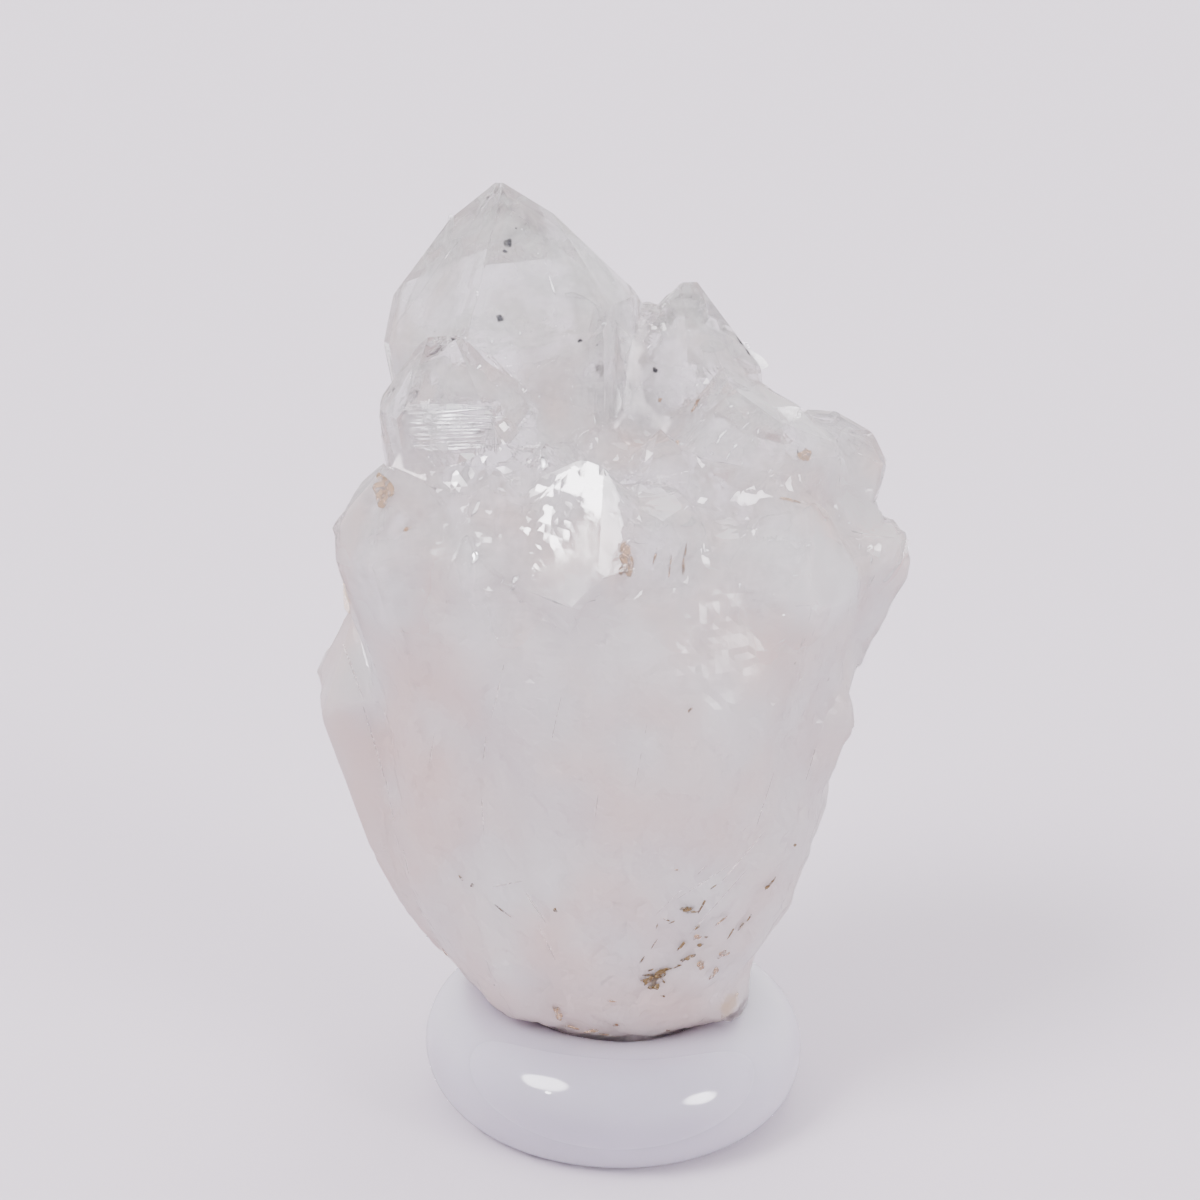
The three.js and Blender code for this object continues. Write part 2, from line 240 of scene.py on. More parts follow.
def mottled_colour_group(torn_noise):
    """From a dark tone to a light one by noise: what lies below Low is dark and above High is light."""
    numbers = ("Scale", "Detail", "Low", "High")
    group, given, result = new_group("mottled_colour", numbers, ("Dark", "Light"), "Color", "NodeSocketColor")
    share = node_in(group, "ShaderNodeGroup")
    share.node_tree = torn_noise
    for name in ("Place", "Scale", "Detail", "Low", "High"):
        group.links.new(given[name], share.inputs[name])
    for name, value in (("Roughness", EVEN_ROUGHNESS), ("Least", 0.0), ("Most", 1.0)):
        share.inputs[name].default_value = value
    tint = group.nodes.new("ShaderNodeMix")
    tint.data_type = "RGBA"
    group.links.new(share.outputs["Value"], tint.inputs["Factor"])
    group.links.new(given["Dark"], tint.inputs["A"])
    group.links.new(given["Light"], tint.inputs["B"])
    group.links.new(tint.outputs["Result"], result["Color"])
    return group


EVEN_ROUGHNESS = 0.5
TORN_NOISE = torn_noise_group()
MOTTLED_COLOUR = mottled_colour_group(TORN_NOISE)


def torn_noise(tree, scale, detail, roughness=EVEN_ROUGHNESS, low=0.0, high=1.0, least=0.0, most=1.0, place=None):
    """The value of the torn_noise group with its numbers set, over Object coordinates or another place."""
    node = tree.nodes.new("ShaderNodeGroup")
    node.node_tree = TORN_NOISE
    names = ("Scale", "Detail", "Roughness", "Low", "High", "Least", "Most")
    for name, value in zip(names, (scale, detail, roughness, low, high, least, most)):
        node.inputs[name].default_value = value
    tree.links.new(place or tree.nodes.new("ShaderNodeTexCoord").outputs["Object"], node.inputs["Place"])
    return node.outputs["Value"]


def mottled_colour(tree, dark, light, scale, detail, low=0.0, high=1.0):
    """The colour of the mottled_colour group with its tones set, over Object coordinates."""
    node = tree.nodes.new("ShaderNodeGroup")
    node.node_tree = MOTTLED_COLOUR
    names = ("Scale", "Detail", "Low", "High", "Dark", "Light")
    for name, value in zip(names, (scale, detail, low, high, dark, light)):
        node.inputs[name].default_value = value
    tree.links.new(tree.nodes.new("ShaderNodeTexCoord").outputs["Object"], node.inputs["Place"])
    return node.outputs["Color"]


def set_inputs(shader, values):
    """Sets the shader's own plain inputs."""
    for name, value in values.items():
        shader.inputs[name].default_value = value


def bump_from(tree, height, strength, distance):
    """The normal of a Bump node over that height."""
    bump = node_in(tree, "ShaderNodeBump", [("Strength", strength), ("Distance", distance)], [("Height", height)])
    return bump.outputs["Normal"]


def attribute_in(tree, name):
    """The number that the mesh keeps under that name."""
    node = tree.nodes.new("ShaderNodeAttribute")
    node.attribute_name = name
    return node.outputs["Fac"]


def math_in(tree, kind, a, b, clamp=False):
    """A Math node over two numbers or outputs."""
    node = tree.nodes.new("ShaderNodeMath")
    node.operation = kind
    node.use_clamp = clamp
    for socket, value in zip(node.inputs, (a, b)):
        if isinstance(value, (int, float)):
            socket.default_value = value
        else:
            tree.links.new(value, socket)
    return node.outputs[0]


def ring_material():
    """Milky silicone: light goes through it much scattered, under a glossy moulded skin."""
    material, tree, shader = new_material("milky_silicone")
    tree.links.new(mottled_colour(tree, RING_DARK, RING_LIGHT, scale=160, detail=3), shader.inputs["Base Color"])
    grain = torn_noise(tree, scale=700, detail=3)
    tree.links.new(bump_from(tree, grain, strength=0.06, distance=0.00003), shader.inputs["Normal"])
    set_inputs(shader, {
        "Roughness": 0.55,
        "IOR": 1.41,
        "Transmission Weight": 0.35,
        "Subsurface Weight": 0.8,
        "Subsurface Radius": (1.0, 1.0, 1.1),
        "Subsurface Scale": 0.0025,
        "Metallic": 0,
        "Coat Weight": 1.0,
        "Coat Roughness": 0.06,
        "Coat IOR": 1.6,
    })
    return material


def stone_material():
    """Clear quartz: smooth on the facets, striped across on the prism faces, frosted on the body."""
    material, tree, shader = new_material("clear_quartz")
    place = tree.nodes.new("ShaderNodeTexCoord")
    frost = attribute_in(tree, "frost")

    # Roughness rises from a polished facet to the frosted body.
    film = math_in(tree, "MULTIPLY", torn_noise(tree, scale=700, detail=5), 0.02)
    rough = math_in(tree, "ADD", math_in(tree, "MULTIPLY", frost, 0.30), film)
    tree.links.new(rough, shader.inputs["Roughness"])

    # Growth lines lie across the prism faces: steps of uneven width along each crystal's own axis.
    line_place = node_in(tree, "ShaderNodeCombineXYZ", (), [("X", attribute_in(tree, "along"))])
    lines = torn_noise(tree, scale=5.5, detail=6, place=line_place.outputs["Vector"])
    lines = math_in(tree, "MULTIPLY", lines, attribute_in(tree, "prism"))
    # The frosted body has fine pits, and streaks drawn out along its height.
    grain = torn_noise(tree, scale=2600, detail=6)
    pits = math_in(tree, "MULTIPLY", grain, math_in(tree, "MULTIPLY", frost, 0.55))
    stretch = node_in(
        tree, "ShaderNodeMapping", [("Scale", (1.0, 1.0, 0.16))], [("Vector", place.outputs["Object"])]
    )
    streaks = torn_noise(tree, scale=1300, detail=4, place=stretch.outputs["Vector"])
    streaks = math_in(tree, "MULTIPLY", streaks, math_in(tree, "MULTIPLY", frost, 0.9))
    pits = math_in(tree, "ADD", pits, streaks)
    swell = math_in(tree, "MULTIPLY", torn_noise(tree, scale=260, detail=2), 0.3)
    height = math_in(tree, "ADD", math_in(tree, "ADD", lines, pits), swell)
    tree.links.new(bump_from(tree, height, strength=0.5, distance=0.00006), shader.inputs["Normal"])

    # The points have a breath of green.
    apart = node_in(tree, "ShaderNodeSeparateXYZ", (), [("Vector", place.outputs["Object"])])
    tip = node_in(
        tree, "ShaderNodeMapRange", [("From Min", 0.036), ("From Max", 0.046)], [("Value", apart.outputs["Z"])]
    )
    tint = tree.nodes.new("ShaderNodeMix")
    tint.data_type = "RGBA"
    tint.inputs["A"].default_value = CLEAR_TINT
    tint.inputs["B"].default_value = POINT_TINT
    tree.links.new(tip.outputs["Result"], tint.inputs["Factor"])
    tree.links.new(tint.outputs["Result"], shader.inputs["Base Color"])
    set_inputs(shader, {"Metallic": 0, "Transmission Weight": 1, "IOR": QUARTZ_IOR})
    return material


def milk_material(name, tone_low, tone_high, tone_warm):
    """Milk in the quartz: white with a faint tint, as dense as the attribute "dense" says and torn by noise.
    Its inner side lets light through, so that the stone isn't hollow and dark."""
    material, tree, shader = new_material(name)
    blush = tree.nodes.new("ShaderNodeMix")
    blush.data_type = "RGBA"
    blush.inputs["B"].default_value = tone_warm
    tree.links.new(attribute_in(tree, "warm"), blush.inputs["Factor"])
    tone = mottled_colour(tree, tone_low, tone_high, scale=260, detail=6, low=0.35, high=0.65)
    tree.links.new(tone, blush.inputs["A"])
    tree.links.new(blush.outputs["Result"], shader.inputs["Base Color"])
    torn = torn_noise(tree, scale=520, detail=5, roughness=0.6, low=0.3, high=0.7, least=-0.22, most=0.22)
    total = math_in(tree, "ADD", torn, attribute_in(tree, "dense"), True)
    inner = tree.nodes.new("ShaderNodeNewGeometry").outputs["Backfacing"]
    tree.links.new(math_in(tree, "SUBTRACT", total, inner, True), shader.inputs["Alpha"])
    set_inputs(shader, {"Roughness": 0.9, "Specular IOR Level": 0.0})
    return material


def stain_material(name, dark, light, thickest):
    """Iron in a crack: from dark to light by noise, and thin where the noise lets the stone through."""
    material, tree, shader = new_material(name)
    tree.links.new(mottled_colour(tree, dark, light, scale=4200, detail=4), shader.inputs["Base Color"])
    grit = torn_noise(tree, scale=4200, detail=4, low=0.34, high=0.56, most=thickest)
    tree.links.new(grit, shader.inputs["Alpha"])
    set_inputs(shader, {"Roughness": 0.7})
    return material


def veil_material():
    """A healed fracture inside the quartz: a thin cloud, torn into wisps by noise."""
    material, tree, shader = new_material("wispy_veil")
    wisps = torn_noise(tree, scale=480, detail=6, roughness=0.65, low=0.38, high=0.68, most=0.75)
    tree.links.new(wisps, shader.inputs["Alpha"])
    set_inputs(shader, {"Base Color": VEIL_TONE, "Roughness": 0.8, "Specular IOR Level": 0.0})
    return material


def flake_material():
    """A fracture inside the quartz that the light glances off: bright, with fine lines across it."""
    material, tree, shader = new_material("bright_fracture")
    lines = torn_noise(tree, scale=1500, detail=3, low=0.36, high=0.62, least=0.15)
    tree.links.new(lines, shader.inputs["Alpha"])
    set_inputs(shader, {"Base Color": FLAKE_TONE, "Metallic": 1.0, "Roughness": 0.16})
    return material


def plain_material(name, colour, roughness):
    """One colour and one roughness all over."""
    material, _, shader = new_material(name)
    set_inputs(shader, {"Base Color": colour, "Roughness": roughness})
    return material


def ring_points():
    """A round tube bent into a ring. Across, the tube is a circle cut off flat at the base; along, its
    radius swells by a few microns, as moulded silicone does."""
    turn = np.linspace(0, 2 * math.pi, RING_TURN_STEPS, endpoint=False)[:, None]
    section = np.linspace(0, 2 * math.pi, RING_SECTION_STEPS, endpoint=False)[None, :]
    tube = RING_TUBE_DIAMETER / 2
    centre = RING_OUTER_DIAMETER / 2 - tube
    mid = RING_HEIGHT - tube
    swell = 0.012 * np.sin(3 * turn + 1) + 0.008 * np.sin(7 * turn + section)
    reach = centre + (tube + swell - RING_INSET) * np.cos(section)
    height = np.maximum(mid + (tube + swell - RING_INSET) * np.sin(section), 0.0)
    x = RING_AXIS[0] + reach * np.cos(turn)
    y = RING_AXIS[1] + reach * np.sin(turn)
    return np.stack([x, y, np.broadcast_to(height, x.shape)], -1).reshape(-1, 3)


def make_ring():
    """The moulded ring, in one closed surface."""
    ring = mesh_object(
        "silicone_ring", ring_points(), closed_grid(RING_TURN_STEPS, RING_SECTION_STEPS, True), ring_material()
    )
    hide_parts("ring_stand")
    return ring


# Each crystal's tip, root and girth, seen from the ring's axis.
CRYSTAL_AXES = {
    "main": ((-6.9, 4.0, 47.0), (-2.6, 1.5, 8), 5.55),
    "second": ((2.3, 5.0, 42.5), (2.4, 2, 8), 3.2),
    "third": ((5.9, 1.2, 40.2), (3.2, -1.0, 8), 4.2),
    "fourth": ((10.2, 3.2, 37.3), (4.2, 1.5, 9), 2.8),
    "fifth": ((12.8, -0.2, 32.9), (3.4, 0, 9), 1.95),
    "front_right": ((8.0, -4.4, 34.3), (3.8, -3.0, 8), 3.2),
    "left_front": ((-9.5, -2.8, 41.0), (-4.6, -1.4, 8), 2.6),
    "centre_left": ((-6.9, -0.6, 40.6), (-2.2, -0.8, 8), 3.3),
    "front_centre": ((-2.3, -7.6, 36.5), (-4.0, -1.2, 14), 3.6),
    "front_small": ((0.9, -6.6, 35.6), (0.6, -2.9, 10), 2.1),
    "left_most": ((-11.5, -4.8, 34.9), (-6.4, -2.4, 6), 2.5),
    "left_outer": ((-13.2, 1.4, 27.3), (-6.9, 0.9, 4.6), 3.9),
    "back_corner": ((9.0, 6.2, 29.6), (4.4, 3.0, 8), 2.8),
    "back_middle": ((-2.0, 8.0, 39.6), (-1.0, 3.4, 8), 3.5),
    "back_right": ((5.6, 8.2, 35.2), (3.0, 3.8, 8), 3.1),
    "back_left": ((-8.8, 7.2, 36.2), (-4.2, 3.2, 8), 3.1),
}


def modified(mesh, kind, **settings):
    """What one modifier makes of a mesh, as a new mesh."""
    shape = bpy.data.objects.new("shape", mesh)
    bpy.context.scene.collection.objects.link(shape)
    step = shape.modifiers.new("step", kind)
    for name, value in settings.items():
        setattr(step, name, value)
    bpy.context.view_layer.update()
    made = bpy.data.meshes.new_from_object(shape.evaluated_get(bpy.context.evaluated_depsgraph_get()))
    bpy.data.objects.remove(shape)
    return made


def even_skin(mesh):
    """The same closed shape cut anew on an even grid of voxels, which joins what overlaps."""
    return modified(mesh, "REMESH", mode="VOXEL", voxel_size=VOXEL * MM)


def mesh_edges(mesh):
    """The two ends of each edge."""
    edges = np.empty(len(mesh.edges) * 2, dtype=int)
    mesh.edges.foreach_get("vertices", edges)
    return edges.reshape(-1, 2)


def mesh_corners(mesh):
    """The three points of each face, on a mesh of triangles."""
    corners = np.empty(len(mesh.polygons) * 3, dtype=int)
    mesh.polygons.foreach_get("vertices", corners)
    return corners.reshape(-1, 3)


def closed_over(mesh, reach, sink):
    """The shape grown by reach, so that slots up to twice as wide close, cut anew, and drawn in again by
    as much and a little more, sink."""
    set_mesh_points(mesh, mesh_points(mesh) + reach * point_normals(mesh))
    mesh = even_skin(mesh)
    set_mesh_points(mesh, relaxed(mesh_points(mesh), mesh_edges(mesh), 3, 0.5))
    set_mesh_points(mesh, mesh_points(mesh) - (reach + sink) * point_normals(mesh))
    return mesh


def healed(mesh):
    """The stone with the slots between its crystals grown full: joined with its own closed-over shape,
    which is sunk at the tips of the left outer crystal and of the highest points."""
    plug = closed_over(even_skin(mesh.copy()), SLOT_REACH, PLUG_SINK)
    points = mesh_points(plug)
    tip = smoothstep(-9.6, -10.8, own_frame(points)[:, 0]) * smoothstep(20.5, 22.5, points[:, 2])
    tip = np.maximum(tip, 0.6 * smoothstep(35.5, 37.5, points[:, 2]))
    set_mesh_points(plug, points - OUTER_SINK * tip[:, None] * point_normals(plug))
    plug = even_skin(plug)
    other = bpy.data.objects.new("plug", plug)
    bpy.context.scene.collection.objects.link(other)
    whole = modified(mesh, "BOOLEAN", operation="UNION", solver="MANIFOLD", object=other)
    bpy.data.objects.remove(other)
    return whole


def refined_stone():
    """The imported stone, merged into one skin and cut until no edge is longer than STONE_EDGE.
    Returns its mesh, with "facet" 1 on every face that belongs to a flat plane of some size."""
    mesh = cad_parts["quartz_cluster"].data.copy()
    clean(mesh)
    mesh = healed(mesh)
    skin = bmesh.new()
    skin.from_mesh(mesh)
    bmesh.ops.remove_doubles(skin, verts=skin.verts, dist=1e-6)
    bmesh.ops.triangulate(skin, faces=skin.faces)
    facet = skin.faces.layers.float.new("facet")
    skin.faces.ensure_lookup_table()
    normals = np.array([f.normal[:] for f in skin.faces])
    areas = np.array([f.calc_area() for f in skin.faces]) / MM**2
    offsets = np.array([f.normal.dot(f.verts[0].co) for f in skin.faces]) / MM
    planes = np.round(np.column_stack([normals * 60, offsets * 12])).astype(int)
    _, group = np.unique(planes, axis=0, return_inverse=True)
    total = np.bincount(group.ravel(), weights=areas)[group.ravel()]
    for face, area in zip(skin.faces, total):
        face[facet] = float(area > FACET_AREA)
    for _ in range(CUT_ROUNDS):
        long_edges = [e for e in skin.edges if e.calc_length() > STONE_EDGE * MM]
        if not long_edges:
            break
        bmesh.ops.subdivide_edges(skin, edges=long_edges, cuts=1, use_grid_fill=False)
        bmesh.ops.triangulate(skin, faces=[f for f in skin.faces if len(f.verts) > 3])
    skin.normal_update()
    for edge in skin.edges:
        flat = all(f[facet] > 0.5 for f in edge.link_faces)
        angle = edge.calc_face_angle(0.0) if len(edge.link_faces) == 2 else 0.0
        low = edge.verts[0].co.z < BODY_TOP * MM
        edge.smooth = low or not (angle > CREASE_ANGLE or (flat and angle > FACET_ANGLE))
    skin.to_mesh(mesh)
    skin.free()
    mesh.materials.clear()
    return mesh


def own_frame(points):
    """The same points seen from the ring's axis."""
    return points - np.array([RING_AXIS[0], RING_AXIS[1], 0.0])


def along_and_axis(points):
    """For each point, the nearest crystal (by its distance from the axis in that crystal's own girths),
    the distance along that crystal's axis and the axis itself."""
    at = own_frame(points)
    best = np.full(len(points), np.inf)
    along = np.zeros(len(points))
    axis = np.zeros((len(points), 3))
    for number, (tip, root, girth) in enumerate(CRYSTAL_AXES.values()):
        way = np.array(tip) - np.array(root)
        way = way / np.linalg.norm(way)
        run = (at - np.array(root)) @ way
        off = np.linalg.norm(at - np.array(root) - run[:, None] * way, axis=1) / girth
        nearer = off < best
        best = np.where(nearer, off, best)
        along = np.where(nearer, run + 40 * number, along)
        axis = np.where(nearer[:, None], way, axis)
    return along, axis


def make_stone(material):
    """The stone's clear skin. The body is relaxed, its creases are grown over and it swells and dips; the
    facets stay flat. The mesh keeps how frosted each point is, how far it lies along its crystal and
    whether it lies on a prism face."""
    mesh = refined_stone()
    points = mesh_points(mesh)
    edges = mesh_edges(mesh)
    # The body is soft up to a wavy height, a little higher at the left. The left outer crystal and the
    # front facet keep their planes.
    left = smoothstep(-5.0, -8.0, own_frame(points)[:, 0])
    soft = smoothstep(31.5 + 1.2 * left, 28.0 + 2.0 * left, points[:, 2] + 0.5 * waves(points, 5, 8))
    outer = smoothstep(-11.0, -12.0, own_frame(points)[:, 0]) * smoothstep(31.0, 29.5, points[:, 2])
    front = np.linalg.norm(own_frame(points) - np.array(FRONT_FACET), axis=1)
    soft = soft * (1 - 0.95 * outer) * smoothstep(4.4, 5.6, front)
    points = points + (relaxed(points, edges, BODY_ROUNDS, 0.6) - points) * soft[:, None]
    set_mesh_points(mesh, points)
    points = filled(points, point_normals(mesh), edges, 1 - outer)
    set_mesh_points(mesh, points)
    normals = point_normals(mesh)
    # A point is flat only where all the faces around it belong to a facet.
    corners = mesh_corners(mesh)
    facet = np.empty(len(corners), dtype=np.float32)
    mesh.attributes["facet"].data.foreach_get("value", facet)
    flat = np.ones(len(points))
    np.minimum.at(flat, corners.ravel(), np.repeat(facet, 3))
    along, axis = along_and_axis(points)
    height = points[:, 2]
    frost = smoothstep(33.5, 28.0, height + 1.2 * waves(points, 6, 3))
    # The body swells and dips; the facets only bend by a few microns.
    body = np.maximum(1 - flat, soft)
    move = BODY_SWELL * body * waves(points, 3.2, 11) + FACET_SWELL * (1 - body) * waves(points, 2.5, 12, 2)
    move -= BODY_PITS * body * np.clip(waves(points, 1.3, 13, 2) - 0.9, 0, 1)
    points = points + normals * move[:, None]
    set_mesh_points(mesh, points)
    set_corners(mesh)
    store(mesh, "frost", frost)
    store(mesh, "along", along)
    store(mesh, "prism", smoothstep(0.45, 0.2, np.abs((normals * axis).sum(1))) * flat)
    mesh.materials.append(material)
    stone = bpy.data.objects.new("quartz_crystals", mesh)
    bpy.context.scene.collection.objects.link(stone)
    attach(stone, "root")
    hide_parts("quartz_cluster")
    stone.visible_shadow = False
    return stone


def set_corners(mesh):
    """After the skin has moved: a corner that grew over is smooth, and a very sharp one is a corner."""
    skin = bmesh.new()
    skin.from_mesh(mesh)
    skin.normal_update()
    for edge in skin.edges:
        angle = edge.calc_face_angle(0.0) if len(edge.link_faces) == 2 else 0.0
        if angle < LEAST_CORNER:
            edge.smooth = True
        elif angle > MOST_ROUND:
            edge.smooth = False
    skin.to_mesh(mesh)
    skin.free()


def relaxed(points, edges, rounds, step):
    """Each point drawn towards the mean of its neighbours, several times over."""
    count = np.bincount(edges.ravel(), minlength=len(points))[:, None]
    for _ in range(rounds):
        total = np.zeros_like(points)
        for axis in range(points.shape[1]):
            total[:, axis] = np.bincount(edges[:, 0], points[edges[:, 1], axis], len(points))
            total[:, axis] += np.bincount(edges[:, 1], points[edges[:, 0], axis], len(points))
        points = points + step * (total / count - points)
    return points


def filled(points, normals, edges, share):
    """Creases grown over: each point rises along its normal as far as the relaxed skin lies above it,
    times its share."""
    rise = ((relaxed(points, edges, FILL_ROUNDS, 0.6) - points) * normals).sum(1) * share
    rise = relaxed(np.clip(rise, 0, None)[:, None], edges, 3, 0.5)
    points = points + FILL_SHARE * rise * normals
    smooth = relaxed(points, edges, 6, 0.5)
    return points + (smooth - points) * smoothstep(0.05, 0.25, rise)


def make_milk(name, stone, inset, rounds, material, density):
    """A closed cloud in the stone: its skin closed over, drawn in by the inset and relaxed. density(points)
    says how thick the milk is at each point."""
    mesh = closed_over(stone.data.copy(), MILK_REACH, inset)
    points = relaxed(mesh_points(mesh), mesh_edges(mesh), rounds, 0.5)
    set_mesh_points(mesh, points)
    mesh.shade_smooth()
    mesh.materials.clear()
    store(mesh, "dense", density(points))
    store(mesh, "warm", warmth(points))
    mesh.materials.append(material)
    cloud = bpy.data.objects.new(name, mesh)
    bpy.context.scene.collection.objects.link(cloud)
    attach(cloud, "root")
    cloud.visible_shadow = False
    return cloud


def warmth(points):
    """How pink or brown the milk is: more on the left flank, on the left outer crystal and near the root."""
    at = own_frame(points)
    left = smoothstep(-5.0, -11.5, at[:, 0]) * smoothstep(33, 22, at[:, 2])
    low = smoothstep(16, 6, at[:, 2])
    return np.clip(0.20 + 0.24 * waves(at, 6, 31) + 0.5 * left + 0.45 * low, 0, 1)


def milk_top(at):
    """The height up to which the milk reaches: low at the front, higher in the middle row, highest in the
    main crystal at the back left."""
    main = smoothstep(-3, 2, at[:, 1]) * smoothstep(1.5, -2.5, at[:, 0])
    middle = smoothstep(-4, 1, at[:, 1])
    return 32.5 + 3.0 * middle + 5.0 * main


def body_density(points):
    """Solid milk in the body, thinning over a band that dips and rises, down to a breath in the points."""
    at = own_frame(points)
    above = at[:, 2] - milk_top(at) + 1.5 * waves(at, 6, 21)
    root = 0.7 + 0.3 * smoothstep(4.6, 6.6, at[:, 2])
    return (0.13 + 1.12 * smoothstep(3.5, -4.5, above)) * root


def haze_density(points):
    """The inner cloud's milk: as the body's, but thinner and reaching a little higher."""
    at = own_frame(points)
    above = at[:, 2] - milk_top(at) - 2.0 + 1.5 * waves(at, 5, 22)
    return 0.12 + 0.68 * smoothstep(4.0, -4.0, above)


# Marks in the skin, on the lower body and the points: where in the picture, length and width in mm, lean in the
# picture in degrees. Iron stains are dark brown, rust is pale and the amber tinges are thin and clear.
IRON_SPOTS = [
    (656, 976, 0.95, 0.72, 20), (648, 980, 0.62, 0.4, 60), (661, 972, 0.8, 0.4, 30), (654, 986, 0.55, 0.4, -30),
    (646, 975, 0.4, 0.14, -20), (650, 970, 0.36, 0.14, 40), (663, 981, 0.4, 0.16, -50), (658, 986, 0.3, 0.12, 80),
    (643, 980, 0.3, 0.1, 10), (665, 969, 0.42, 0.1, 12), (687, 909, 0.62, 0.34, 10),
    (692, 912, 0.5, 0.16, -8), (702, 906, 0.78, 0.15, 64), (697, 927, 0.36, 0.24, 50), (682, 945, 0.80, 0.15, 52),
    (706, 937, 0.16, 0.15, 0), (690, 957, 0.52, 0.26, 18), (683, 960, 0.35, 0.15, 30), (700, 945, 0.36, 0.2, 35),
    (771, 883, 0.72, 0.16, 44), (767, 887, 0.3, 0.24, 20), (749, 918, 0.56, 0.12, 70), (741, 926, 0.6, 0.11, 26),
    (731, 933, 0.55, 0.10, 50), (642, 960, 0.52, 0.09, 58), (654, 944, 0.62, 0.06, 62), (667, 920, 0.36, 0.08, -35),
    (672, 922, 0.3, 0.07, 15), (657, 926, 0.34, 0.07, 80), (673, 968, 0.62, 0.06, 20), (679, 965, 0.2, 0.06, 5),
    (555, 910, 0.28, 0.2, 60), (461, 878, 0.3, 0.16, -50), (472, 885, 0.22, 0.16, 80), (663, 996, 0.26, 0.11, -40),
    (713, 887, 0.32, 0.07, 20), (795, 845, 0.22, 0.18, 0), (503, 911, 1.0, 0.07, -30), (690, 710, 0.3, 0.12, 60),
]
RUST_SPOTS = [
    (722, 954, 0.62, 0.42, 30), (727, 954, 0.36, 0.2, 0), (701, 965, 0.6, 0.36, 75), (714, 973, 0.72, 0.4, 60),
    (697, 937, 0.5, 0.34, 70), (721, 921, 0.85, 0.1, 34), (558, 1013, 0.85, 0.42, -55), (571, 1027, 1.0, 0.3, -12),
    (592, 1031, 0.85, 0.26, 14), (604, 1034, 0.5, 0.2, -25), (616, 1025, 0.44, 0.28, -30),
    (668, 1030, 0.34, 0.15, -60), (678, 1037, 0.45, 0.22, -22), (445, 952, 0.46, 0.3, 0),
    (611, 1001, 0.6, 0.1, -22), (676, 870, 0.18, 0.14, 0),
    (805, 455, 1.1, 0.6, 55), (696, 405, 0.85, 0.22, 60), (660, 400, 0.3, 0.16, 70), (383, 490, 0.9, 1.6, 20),
    (407, 529, 0.4, 0.2, 40), (626, 560, 1.5, 0.8, 84), (684, 560, 1.5, 0.20, 84), (670, 566, 1.1, 0.12, 82),
    (655, 556, 1.0, 0.10, 80), (790, 500, 1.2, 0.2, 10), (678, 442, 0.4, 0.2, 70), (734, 1026, 0.5, 0.3, 0),
]
AMBER_SPOTS = [(346, 592, 2.6, 1.2, 84), (344, 612, 1.6, 0.8, 84), (730, 1005, 1.6, 0.9, 60)]
BLACK_SPECKS = [
    (508, 243, 0.48, 0.44, 0), (505, 251, 0.24, 0.2, 0), (500, 318, 0.40, 0.36, 0), (580, 341, 0.30, 0.16, 0),
    (655, 370, 0.30, 0.26, 0), (798, 452, 0.1, 0.3, 0), (597, 345, 0.14, 0.1, 0), (740, 341, 0.5, 0.12, -50),
    (748, 352, 0.4, 0.12, -50), (516, 228, 0.1, 0.1, 0),
]
